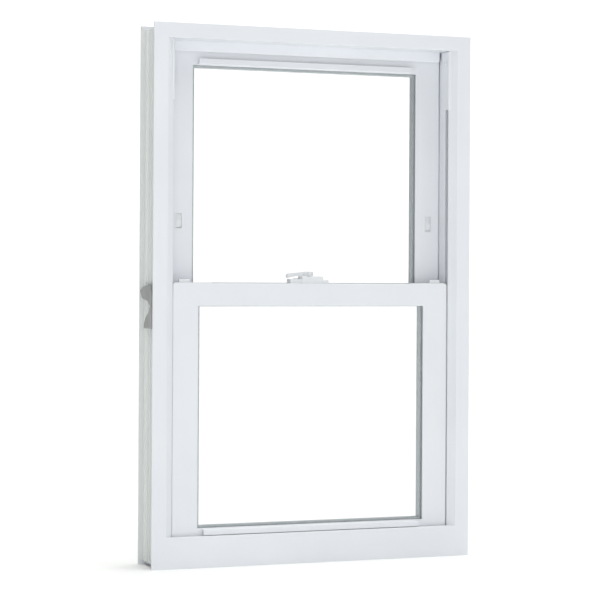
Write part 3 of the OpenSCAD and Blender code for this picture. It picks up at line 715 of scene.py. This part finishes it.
class Trees:
    """The trees that this window uses, each built once."""

    def __init__(self) -> None:
        """Builds the trees."""
        self.pile = self.pile_tree()
        self.dots = self.dots_tree()
        self.ribs = self.ribs_tree()
        self.coil = self.coil_tree()

    @staticmethod
    def pile_tree() -> GeometryTree:
        """Fibres stand on every face marked as pile, on top of the backing that goes in."""
        t = GeometryTree("pile")
        marked = t.add("GeometryNodeInputNamedAttribute", data_type="BOOLEAN", Name="pile")
        spread = t.add("GeometryNodeDistributePointsOnFaces", distribute_method="RANDOM")
        t.join(t.source, "Geometry", spread, "Mesh")
        t.join(marked, "Attribute", spread, "Selection")
        t.feed(t.number("Density"), spread, "Density")
        t.feed(t.number("Seed", "Int"), spread, "Seed")
        fibre = t.add("GeometryNodeMeshCone", fill_type="NONE", Vertices=3)
        t.feed(t.number("Fibre Radius"), fibre, "Radius Bottom")
        t.feed(t.number("Tip Radius"), fibre, "Radius Top")
        t.feed(t.number("Fibre Height"), fibre, "Depth")
        lean = t.add("FunctionNodeRandomValue", data_type="FLOAT_VECTOR", Min=(-0.16, -0.16, 0.0),
                     Max=(0.16, 0.16, 6.28))
        turn = t.add("FunctionNodeEulerToRotation")
        t.join(lean, "Value", turn, "Euler")
        both = t.add("FunctionNodeRotateRotation", rotation_space="LOCAL")
        t.join(spread, "Rotation", both, "Rotation")
        t.join(turn, "Rotation", both, "Rotate By")
        length = t.add("FunctionNodeRandomValue", data_type="FLOAT_VECTOR", Min=(1.0, 1.0, 0.86),
                       Max=(1.0, 1.0, 1.0))
        stand = t.add("GeometryNodeInstanceOnPoints")
        t.join(spread, "Points", stand, "Points")
        t.join(fibre, "Mesh", stand, "Instance")
        t.join(both, "Rotation", stand, "Rotation")
        t.join(length, "Value", stand, "Scale")
        whole = t.add("GeometryNodeJoinGeometry")
        t.join(t.source, "Geometry", whole, "Geometry")
        t.join(stand, "Instances", whole, "Geometry")
        t.close(whole, "Geometry")
        return t

    @staticmethod
    def dots_tree() -> GeometryTree:
        """Small balls at an even pitch along the edges that go in."""
        t = GeometryTree("dots")
        path = t.add("GeometryNodeMeshToCurve")
        t.join(t.source, "Geometry", path, "Mesh")
        even = t.add("GeometryNodeResampleCurve", mode="LENGTH")
        t.join(path, "Curve", even, "Curve")
        t.feed(t.number("Pitch"), even, "Length")
        ball = t.add("GeometryNodeMeshIcoSphere", Subdivisions=1)
        t.feed(t.number("Radius"), ball, "Radius")
        stand = t.add("GeometryNodeInstanceOnPoints")
        t.join(even, "Curve", stand, "Points")
        t.join(ball, "Mesh", stand, "Instance")
        t.close(stand, "Instances")
        return t

    @staticmethod
    def ribs_tree() -> GeometryTree:
        """A row of round bars, each with its length along Y."""
        t = GeometryTree("ribs")
        line = t.add("GeometryNodeMeshLine", mode="OFFSET")
        t.feed(t.number("Count", "Int"), line, "Count")
        t.feed(t.number("Start", "Vector"), line, "Start Location")
        t.feed(t.number("Step", "Vector"), line, "Offset")
        bar = t.add("GeometryNodeMeshCylinder", fill_type="NGON", Vertices=12)
        t.feed(t.number("Radius"), bar, "Radius")
        t.feed(t.number("Length"), bar, "Depth")
        stand = t.add("GeometryNodeInstanceOnPoints", Rotation=(math.pi / 2, 0.0, 0.0))
        t.join(line, "Mesh", stand, "Points")
        t.join(bar, "Mesh", stand, "Instance")
        t.close(stand, "Instances")
        return t

    @staticmethod
    def coil_tree() -> GeometryTree:
        """A flat spiral of strip, its axis along Y."""
        t = GeometryTree("coil")
        spiral = t.add("GeometryNodeCurveSpiral", Resolution=40, Height=0.0)
        t.feed(t.number("Turns"), spiral, "Rotations")
        t.feed(t.number("Inner Radius"), spiral, "Start Radius")
        t.feed(t.number("Outer Radius"), spiral, "End Radius")
        upright = t.add("GeometryNodeSetCurveNormal", mode="Z_UP")
        t.join(spiral, "Curve", upright, "Curve")
        strip = t.add("GeometryNodeCurvePrimitiveQuadrilateral", mode="RECTANGLE")
        t.feed(t.number("Thickness"), strip, "Width")
        t.feed(t.number("Breadth"), strip, "Height")
        sweep = t.add("GeometryNodeCurveToMesh", Fill_Caps=True)
        t.join(upright, "Curve", sweep, "Curve")
        t.join(strip, "Curve", sweep, "Profile Curve")
        place = t.add("GeometryNodeTransform", Rotation=(math.pi / 2, 0.0, 0.0))
        t.feed(t.number("Centre", "Vector"), place, "Translation")
        t.join(sweep, "Mesh", place, "Geometry")
        t.close(place, "Geometry")
        return t


def loose_parts(node: str) -> list[tuple[Vector, Vector]]:
    """The boxes of a node's separate solids, from the lowest up.

    Args:
        node: The node's name.

    Returns:
        The lowest and highest corner of each.
    """
    bm = bmesh.new()
    bm.from_mesh(merged(node, False))
    left = set(bm.verts)
    boxes = []
    while left:
        reached, todo = set(), [left.pop()]
        while todo:
            vert = todo.pop()
            reached.add(vert)
            for edge in vert.link_edges:
                other = edge.other_vert(vert)
                if other in left:
                    left.discard(other)
                    todo.append(other)
        points = [v.co for v in reached]
        boxes.append((Vector([min(c) for c in zip(*points)]), Vector([max(c) for c in zip(*points)])))
    bm.free()
    return sorted(boxes, key=lambda box: (round(box[0].z, 5), round(box[0].x, 5)))


@dataclass(frozen=True)
class Rectangle:
    """An upright rectangle in X and Z, centred on X = 0, one of whose ends is at the other sash.

    Attributes:
        half: Half its width.
        low: Its lower end.
        high: Its upper end.
        meets_low: Whether the lower end is the one at the other sash.
        slack: How much less than elsewhere an inset may be at that end.
    """

    half: float
    low: float
    high: float
    meets_low: bool
    slack: float

    def corners(self, inset: float) -> list[tuple[float, float]]:
        """Its corners, moved in by inset, but less at the end by the other sash."""
        least = min(inset, max(inset - self.slack, self.slack * 0.1))
        low, high = (least, inset) if self.meets_low else (inset, least)
        x, z0, z1 = self.half - inset, self.low + low, self.high - high
        return [(-x, z0), (x, z0), (x, z1), (-x, z1)]


def ring(name: str, around: Rectangle, profile: Sequence[tuple[float, float]]) -> bpy.types.Object:
    """Sweeps a closed profile round a rectangle, with mitred corners.

    Args:
        name: The object's name.
        around: The rectangle.
        profile: The profile's points, each its inset from the rectangle and its Y.

    Returns:
        The ring.
    """
    bm = bmesh.new()
    loops = [[bm.verts.new((x, y, z)) for x, z in around.corners(inset)] for inset, y in profile]
    tube(bm, loops, closed=True)
    bmesh.ops.recalc_face_normals(bm, faces=bm.faces)
    return settled(bm, name)


# ---------------------------------------------------------------- sub-assemblies


@dataclass
class OuterFrame:
    """Jambs, head, sill, the stop under the head and the track covers."""

    finishes: Finishes
    edge: float = 0.35 * MM
    body: str = "frame"

    def build(self) -> None:
        """Builds and dresses the pieces."""
        for side in Side:
            skin(f"jamb_{side.value}", self.body, "white_vinyl", self.finishes.jamb, self.edge)
            skin(f"track_cover_{side.value}", self.body, "cover_vinyl", self.finishes.cover, 0.25 * MM)
        for node in ("head", "sill", "head_stop"):
            skin(node, self.body, "white_vinyl", self.finishes.level, self.edge)


@dataclass
class Balances:
    """The constant-force balances in the four tracks: shoes, ribbons, coils and cases."""

    finishes: Finishes
    trees: Trees
    edge: float = 0.3 * MM
    turns: float = 8.5
    hole: float = 4.0 * MM
    strip_t: float = 0.36 * MM
    clear: float = 0.02 * MM
    moving_share: float = 0.8

    def build(self) -> None:
        """Builds and dresses the pieces."""
        for sash in Sash:
            shoe_body = "lower_shoes" if sash is Sash.LOWER else "upper_sash"
            for side in Side:
                end = f"{sash.value}_{{}}_{side.value}"
                skin(end.format("shoe"), shoe_body, "balance_plastic", self.finishes.nylon, self.edge)
                skin(end.format("coil_case"), "frame", "balance_plastic", self.finishes.nylon, self.edge)
                self.coil(end.format("coil"))
                skin(end.format("pivot"), sash.body, "plated_steel", self.finishes.plated, self.edge)
                self.ribbon(sash, side)

    def coil(self, node: str) -> None:
        """Winds the ribbon's store, a spiral of the same strip.

        Args:
            node: The coil's solid.
        """
        low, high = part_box(node)
        radius = (high.x - low.x) / 2
        obj = new_object(f"{node}_spiral", bpy.data.meshes.new(node))
        self.trees.coil.run(obj, Turns=self.turns, Inner_Radius=self.hole + self.strip_t / 2,
                            Outer_Radius=radius - self.strip_t / 2 - self.clear, Thickness=self.strip_t,
                            Breadth=high.y - low.y, Centre=tuple((low + high) / 2),
                            Finish=self.finishes.spring)
        carry(obj, "frame", "spring_steel", node)

    def ribbon(self, sash: Sash, side: Side) -> None:
        """Makes one balance ribbon, cut into short lengths, the lower sash's in two pieces.

        Args:
            sash: The sash that the ribbon holds.
            side: The jamb that it runs in.
        """
        node = f"{sash.value}_ribbon_{side.value}"
        low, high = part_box(node)
        if sash is Sash.UPPER:
            cuts = [(low.z, high.z, "frame", "upper_sash")]
        else:
            split = low.z + self.moving_share * (high.z - low.z)
            cuts = [(split, high.z, "frame", "lower_ribbons"), (low.z, split, "lower_ribbons", "lower_shoes")]
        for number, (z0, z1, above, below) in enumerate(cuts):
            piece = self.strip(f"{node}_{number}", low, high, z0, z1)
            dress(piece, self.finishes.spring)
            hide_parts(node)
            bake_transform(piece)
            LOG.info("%s blends %s into %s", piece.name, above, below)

    @staticmethod
    def strip(name: str, low: Vector, high: Vector, z0: float, z1: float,
              steps: int = 48) -> bpy.types.Object:
        """Makes an upright strip, cut into short lengths.

        Args:
            name: The object's name.
            low: The strip's lowest corner; only x and y are read.
            high: Its highest corner.
            z0: Where it starts.
            z1: Where it ends.
            steps: How many lengths it is cut into.

        Returns:
            The strip.
        """
        bm = bmesh.new()
        middle = (low.y + high.y) / 2
        outline = [(low.x, low.y), (high.x, low.y), (high.x, middle), (high.x, high.y), (low.x, high.y),
                   (low.x, middle)]
        heights = [z0 + (z1 - z0) * i / steps for i in range(steps + 1)]
        tube(bm, [[bm.verts.new((x, y, z)) for x, y in outline] for z in heights])
        bmesh.ops.recalc_face_normals(bm, faces=bm.faces)
        return settled(bm, name)


@dataclass
class GlazedSash:
    """One sash: four welded profiles, the sealed glass unit, beads and weatherstrip."""

    finishes: Finishes
    trees: Trees
    sash: Sash
    edge: float = 0.35 * MM
    bite: float = 10.9 * MM
    sight: float = 3.6 * MM
    meet: float = 0.4 * MM
    fibre: float = 0.11 * MM
    density: float = 3.4e6
    bulb: float = 0.8 * MM
    hole: float = 0.42 * MM
    hole_pitch: float = 4.0 * MM

    def build(self) -> None:
        """Builds and dresses the pieces."""
        name, body = self.sash.value, self.sash.body
        for side in Side:
            skin(f"{name}_stile_{side.value}", body, "white_vinyl", self.finishes.upright, self.edge)
        for rail in ("top", "bottom"):
            skin(f"{name}_{rail}_rail", body, "white_vinyl", self.finishes.level, self.edge)
        skin(f"{name}_glazing_beads", body, "white_vinyl", self.finishes.upright, 0.25 * MM)
        for pane in ("inner", "outer"):
            skin(f"{name}_{pane}_pane", body, "clear_glass", self.finishes.glass, 0.2 * MM, 1)
        skin(f"{name}_spacer", body, "spacer_grey", self.finishes.spacer, 0.2 * MM)
        self.seals()
        self.perforations()
        self.pile()
        for side in Side:
            self.front_seal(side)

    @property
    def daylight(self) -> Rectangle:
        """The clear opening inside the profiles."""
        low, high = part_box(f"{self.sash.value}_inner_pane")
        return Rectangle(high.x - self.bite, low.z + self.bite, high.z - self.bite,
                         self.sash is Sash.UPPER, self.sight - self.meet)

    def seals(self) -> None:
        """Runs the glazing seal indoors and the dark butyl lines beside the spacer."""
        name = self.sash.value
        pane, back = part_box(f"{name}_inner_pane"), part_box(f"{name}_outer_pane")
        front, inside, outside = pane[0].y, pane[1].y, back[0].y
        wedge = [(-0.5, -0.8), (0.1, -0.8), (0.35, -0.5), (0.5, -0.04), (-0.5, -0.04)]
        line = [(1.0, 0.02), (4.0, 0.02), (3.9, 0.3), (1.0, 0.3)]
        lines = {
            "glazing_seal": (wedge, front, 1),
            "butyl_indoors": (line, inside, 1),
            "butyl_outdoors": (line, outside, -1),
        }
        for part, (points, y, way) in lines.items():
            profile = [(inset * MM, y + way * depth * MM) for inset, depth in points]
            piece = dress(ring(f"{name}_{part}", self.daylight, profile), self.finishes.seal)
            carry(piece, self.sash.body, "spacer_grey")

    def front_seal(self, side: Side) -> None:
        """Runs a pale bulb seal down the gap beside a stile, just behind its face.

        Args:
            side: The stile's side.
        """
        low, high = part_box(f"{self.sash.value}_stile_{side.value}")
        edge = high.x if side is Side.RIGHT else low.x
        back = 1.9 * MM if self.sash is Sash.LOWER else 1.5 * MM
        x, y = edge + side.sign * self.bulb, low.y + back
        angles = [math.tau * i / 12 for i in range(12)]
        outline = [(x + self.bulb * math.cos(a), y + 1.6 * self.bulb * math.sin(a)) for a in angles]
        bm = bmesh.new()
        ends = (low.z + 6 * MM, high.z - 8 * MM)
        for face in tube(bm, [[bm.verts.new((*point, z)) for point in outline] for z in ends]):
            face.smooth = True
        piece = dress(settled(bm, f"{self.sash.value}_front_seal_{side.value}"), self.finishes.bulb)
        carry(piece, self.sash.body, "pile_grey")

    def perforations(self) -> None:
        """Marks the spacer's row of breathing holes with near-black dots, painted shade for the holes."""
        low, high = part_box(f"{self.sash.value}_spacer")
        middle = (low.y + high.y) / 2
        mesh = bpy.data.meshes.new("path")
        corners = [(x, middle, z) for x, z in self.daylight.corners(self.sight - 0.3 * MM)]
        mesh.from_pydata(corners, [(0, 1), (1, 2), (2, 3), (3, 0)], [])
        obj = new_object(f"{self.sash.value}_spacer_holes", mesh)
        self.trees.dots.run(obj, Pitch=self.hole_pitch, Radius=self.hole, Finish=self.finishes.hole)
        carry(obj, self.sash.body, "spacer_grey")

    def pile(self) -> None:
        """Stands woven pile on a backing in every groove of the sash."""
        node = f"{self.sash.value}_weatherstrip"
        centre = sum(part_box(f"{self.sash.value}_inner_pane"), Vector()) / 2
        bm = bmesh.new()
        layer = bm.faces.layers.bool.new("pile")
        heights = []
        for low, high in loose_parts(node):
            size, middle = high - low, (low + high) / 2
            if size.z > 0.1:
                axis = Vector((math.copysign(1.0, middle.x), 0.0, 0.0))
            elif size.y > 6 * MM:
                axis = Vector((0.0, -1.0, 0.0))
            else:
                axis = Vector((0.0, 0.0, math.copysign(1.0, middle.z - centre.z)))
            tall = abs(size.dot(axis))
            backing = min(0.8 * MM, 0.3 * tall)
            heights.append(tall - backing)
            self.backing(bm, layer, low, high, axis, tall - backing)
        obj = settled(bm, f"{node}_pile")
        self.trees.pile.run(obj, Density=self.density, Seed=7, Fibre_Radius=self.fibre,
                            Tip_Radius=self.fibre * 0.6, Fibre_Height=min(heights) * 0.99,
                            Finish=self.finishes.pile)
        carry(obj, self.sash.body, "pile_grey", node)

    @staticmethod
    def backing(bm: bmesh.types.BMesh, layer: object, low: Vector, high: Vector, axis: Vector,
                pile: float) -> None:
        """Adds the backing of one strip, its pile face marked.

        Args:
            bm: The mesh that it goes into.
            layer: The face layer that marks pile.
            low: The strip's lowest corner.
            high: Its highest corner.
            axis: The way that the pile stands.
            pile: How tall the pile is.
        """
        lo, hi = low.copy(), high.copy()
        for i in range(3):
            if axis[i] > 0.5:
                hi[i] -= pile
            elif axis[i] < -0.5:
                lo[i] += pile
        made = bmesh.ops.create_cube(bm, size=1.0)
        for vert in made["verts"]:
            vert.co = Vector([lo[i] if vert.co[i] < 0 else hi[i] for i in range(3)])
        faces = {face for vert in made["verts"] for face in vert.link_faces}
        for face in faces:
            face.normal_update()
        top = max(faces, key=lambda face: face.normal.dot(axis))
        bmesh.ops.inset_individual(bm, faces=[top], thickness=0.4 * MM)
        top[layer] = True


@dataclass
class Hardware:
    """Tilt latches, sash lock, vent latches and jamb adjusters."""

    finishes: Finishes
    trees: Trees
    edge: float = 0.4 * MM
    button_x: float = 239.3 * MM
    rib: float = 0.45 * MM
    rib_pitch: float = 1.6 * MM
    lip_t: float = 0.4 * MM

    def build(self) -> None:
        """Builds and dresses the pieces."""
        white = self.finishes.hardware
        for side in Side:
            hand = side.value
            skin(f"latch_case_{hand}", "lower_sash", "hardware_white", white, 0.25 * MM)
            skin(f"latch_bolt_{hand}", f"latch_{hand}", "hardware_white", white, 0.3 * MM)
            self.thumb_ribs(side)
            skin(f"vent_case_{hand}", "upper_sash", "hardware_white", white, 0.15 * MM)
            skin(f"vent_tongue_{hand}", f"vent_{hand}", "hardware_white", white, 0.2 * MM)
            self.vent_lips(side)
            skin(f"adjuster_{hand}", f"adjuster_{hand}", "grey_plastic", self.finishes.grey, 0.5 * MM, 3)
        skin("lock_base", "lower_sash", "hardware_white", white, self.edge, 3)
        skin("keeper", "upper_sash", "hardware_white", white, self.edge, 3)
        skin("lock_lever", "lock", "hardware_white", white, 0.8 * MM, 3)
        skin("lock_cam", "lock", "plated_steel", self.finishes.plated, 0.3 * MM)
        skin("lock_screws", "lower_sash", "plated_steel", self.finishes.plated, 0.15 * MM)

    def vent_lips(self, side: Side) -> None:
        """Closes the two ends of a vent latch's pocket with thin lips, clear of the tongue's swing.

        Args:
            side: The latch's side.
        """
        low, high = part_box(f"vent_case_{side.value}")
        middle, width = (low.x + high.x) / 2, high.x - low.x - 3.2 * MM
        top = (1.9 * MM, high.z - 2.25 * MM, high.z - 1.3 * MM)
        bottom = (1.2 * MM, low.z + 1.3 * MM, low.z + 2.7 * MM)
        bm = bmesh.new()
        for back, z0, z1 in (top, bottom):
            move = Matrix.Translation((middle, low.y + back + self.lip_t / 2, (z0 + z1) / 2))
            size = Matrix.Diagonal((width, self.lip_t, z1 - z0, 1.0))
            bmesh.ops.create_cube(bm, size=1.0, matrix=move @ size)
        piece = dress(settled(bm, f"vent_lips_{side.value}"), self.finishes.hardware)
        carry(piece, "upper_sash", "hardware_white")

    def thumb_ribs(self, side: Side) -> None:
        """Runs a few low ribs across a tilt latch's thumb button."""
        low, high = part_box(f"latch_bolt_{side.value}")
        count = 5
        first = side.sign * self.button_x - (count - 1) * self.rib_pitch / 2
        obj = new_object(f"latch_ribs_{side.value}", bpy.data.meshes.new("ribs"))
        self.trees.ribs.run(obj, Count=count, Radius=self.rib, Length=(high.y - low.y) - 1.6 * MM,
                            Start=(first, (low.y + high.y) / 2, high.z - 0.25 * MM),
                            Step=(self.rib_pitch, 0.0, 0.0), Finish=self.finishes.hardware)
        carry(obj, f"latch_{side.value}", "hardware_white")


# ---------------------------------------------------------------- studio


@dataclass(frozen=True)
class Lamp:
    """A light's strength, colour and width.

    Attributes:
        strength: Its power in watts, or for a sky light in watts per square metre.
        colour: Its colour.
        width: Its side in metres, or for a sky light the angle that it fills, in degrees.
    """

    strength: float
    colour: Colour
    width: float


@dataclass
class Studio:
    """Pale floor, soft light and the camera."""

    eye: Point = (-1.3302, -3.4113, 0.5151)
    turn: float = 21.093
    roll: float = 0.318
    lens: float = 122.48
    shift_y: float = -0.0464
    floor: float = 14.0
    key: Lamp = Lamp(54.0, (0.985, 0.985, 1.0), 2.2)
    key_place: Point = (-1.5, -4.6, 0.7)
    key_aim: Point = (0.0, 0.0, 0.5)
    sky: Lamp = Lamp(2.95, (0.99, 1.0, 0.985), 80.0)
    sky_from: Point = (0.2, 0.0, 0.98)
    ambient: float = 0.27
    ambient_colour: Colour = (0.985, 1.0, 0.98)
    backdrop: float = 1.15

    def build(self) -> None:
        """Builds the floor, lights, world and camera."""
        self.make_floor()
        self.make_world()
        self.make_key()
        self.make_sky()
        self.make_camera()

    def make_floor(self) -> None:
        """Makes the floor, with a faint unevenness in its tone."""
        bm = bmesh.new()
        bmesh.ops.create_grid(bm, x_segments=8, y_segments=8, size=self.floor)
        floor = settled(bm, "floor")
        s = Shader("pale floor")
        patch = s.noise(1.5, detail=4.0)
        s.colour(s.tint(patch, "Fac", (0.955, 0.955, 0.955), (0.97, 0.97, 0.97)))
        s.value("Roughness", 0.85)
        dress(floor, s.material)

    def make_world(self) -> None:
        """Lights the scene evenly, and shows a white backdrop to the camera."""
        world = bpy.data.worlds.new("studio")
        bpy.context.scene.world = world
        world.use_nodes = True
        g = Graph(world.node_tree)
        output = g.add("ShaderNodeOutputWorld")
        path = g.add("ShaderNodeLightPath")
        mix = g.add("ShaderNodeMixShader")
        light = g.add("ShaderNodeBackground", Color=(*self.ambient_colour, 1.0), Strength=self.ambient)
        backdrop = g.add("ShaderNodeBackground", Color=(1.0, 1.0, 1.0, 1.0), Strength=self.backdrop)
        g.join(path, "Is Camera Ray", mix, 0)
        g.join(light, "Background", mix, 1)
        g.join(backdrop, "Background", mix, 2)
        g.join(mix, "Shader", output, "Surface")

    @staticmethod
    def hang(name: str, light: bpy.types.Light, lamp: Lamp, toward: Vector) -> bpy.types.Object:
        """Hangs a light and turns it.

        Args:
            name: The light's name.
            light: The light.
            lamp: Its strength and colour.
            toward: The way that it shines.

        Returns:
            The light's object, at the origin.
        """
        light.energy = lamp.strength
        light.color = lamp.colour
        obj = bpy.data.objects.new(name, light)
        obj.rotation_mode = "QUATERNION"
        obj.rotation_quaternion = toward.to_track_quat("-Z", "Y")
        bpy.context.scene.collection.objects.link(obj)
        return obj

    def make_key(self) -> None:
        """Hangs a large square lamp before the window."""
        light = bpy.data.lights.new("key", "AREA")
        light.shape = "SQUARE"
        light.size = self.key.width
        toward = Vector(self.key_aim) - Vector(self.key_place)
        self.hang("key", light, self.key, toward).location = self.key_place

    def make_sky(self) -> None:
        """Lights everything alike from above, with very soft shadows."""
        light = bpy.data.lights.new("sky", "SUN")
        light.angle = math.radians(self.sky.width)
        self.hang("sky", light, self.sky, -Vector(self.sky_from))

    def make_camera(self) -> None:
        """Sets the camera a little above the window's middle, to its left, looking level."""
        data = bpy.data.cameras.new("camera")
        data.sensor_width = 36.0
        data.lens = self.lens
        data.shift_y = self.shift_y
        data.clip_start = 0.05
        data.clip_end = 100.0
        camera = bpy.data.objects.new("camera", data)
        camera.location = self.eye
        angle = math.radians(self.turn)
        aim = Vector((math.sin(angle), math.cos(angle), 0.0)).to_track_quat("-Z", "Y")
        camera.rotation_mode = "QUATERNION"
        camera.rotation_quaternion = aim @ Quaternion((0.0, 0.0, 1.0), math.radians(self.roll))
        bpy.context.scene.collection.objects.link(camera)
        bpy.context.scene.camera = camera


def main() -> None:
    """Builds the studio and every sub-assembly."""
    logging.basicConfig(level=logging.INFO, format="%(message)s")
    bpy.context.scene.view_settings.view_transform = "Standard"
    finishes, trees = Finishes(), Trees()
    Studio().build()
    OuterFrame(finishes).build()
    Balances(finishes, trees).build()
    for sash in Sash:
        GlazedSash(finishes, trees, sash).build()
    Hardware(finishes, trees).build()


if __name__ == "__main__":
    main()
